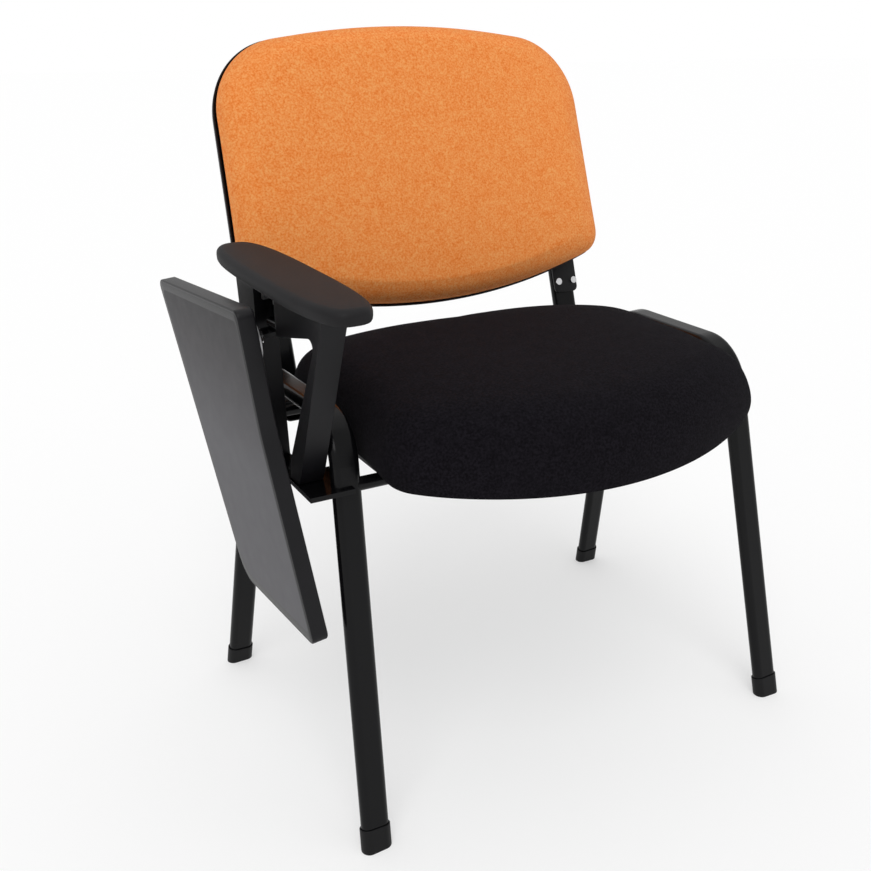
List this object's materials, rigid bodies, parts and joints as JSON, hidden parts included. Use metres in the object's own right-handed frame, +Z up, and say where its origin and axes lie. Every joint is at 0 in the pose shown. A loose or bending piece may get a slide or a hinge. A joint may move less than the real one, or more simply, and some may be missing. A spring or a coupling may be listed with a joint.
{
  "type": "training chair with writing tablet",
  "caption": "Upholstered training chair on bent tube side frames, with one arm whose writing tablet hangs outside it and swings and folds over the lap.",
  "frame": {"origin": "middle of the part's floor area, on the floor", "axes": "+X to the sitter's left, +Y to the back, +Z up"},
  "size_m": [0.6492, 0.5252, 0.7926],
  "materials": {
    "frame_black": "gloss",
    "cap_black": "matt",
    "shell_black": "satin",
    "plywood": "matt",
    "seat_fabric": "woven",
    "back_fabric": "woven",
    "arm_plastic": "satin",
    "pad_plastic": "satin",
    "tablet_face": "satin",
    "tablet_edge": "satin",
    "plate_steel": "satin",
    "nylon": "matt",
    "bright_steel": "polished",
    "screw_steel": "satin"
  },
  "bodies": {
    "chair": {"left_side_frame": "frame_black", "right_side_frame": "frame_black", "front_cross_tube": "frame_black", "rear_cross_tube": "frame_black", "foot_cap_front_left": "cap_black", "foot_cap_front_right": "cap_black", "foot_cap_rear_left": "cap_black", "foot_cap_rear_right": "cap_black", "seat_tabs": "frame_black", "seat_pan": "shell_black", "seat_board": "plywood", "seat_cushion": "seat_fabric", "seat_screws": "screw_steel", "back_shell": "shell_black", "back_board": "plywood", "back_cushion": "back_fabric", "back_screws": "screw_steel", "tongue_screws": "bright_steel", "upright_left": "frame_black", "upright_right": "frame_black", "upright_plugs": "cap_black", "arm_bracket": "frame_black", "arm_body": "arm_plastic", "arm_bolts": "screw_steel", "arm_pad": "pad_plastic", "hinge_bracket": "plate_steel", "hinge_screws": "screw_steel", "flip_pin": "bright_steel", "flip_nut": "screw_steel", "flip_washers": "nylon"},
    "link": {"link": "frame_black", "clamp_bolt": "bright_steel", "swing_washer": "nylon"},
    "tablet": {"tablet_board": "tablet_face", "tablet_band": "tablet_edge", "tablet_plate": "plate_steel", "tablet_screws": "screw_steel", "swing_bolt": "bright_steel"}
  },
  "joints": [
    {"name": "tablet_flip", "type": "hinge", "parent": "chair", "child": "link", "pos_m": [-0.25766, -0.05756, 0.548], "axis": [-0.0419, 0.9991, 0], "range_deg": [0, 95]},
    {"name": "tablet_swing", "type": "hinge", "parent": "link", "child": "tablet", "pos_m": [-0.2942, -0.09112, 0.51658], "axis": [-0.9953, -0.0417, -0.0872], "range_deg": [0, 180]}
  ]
}
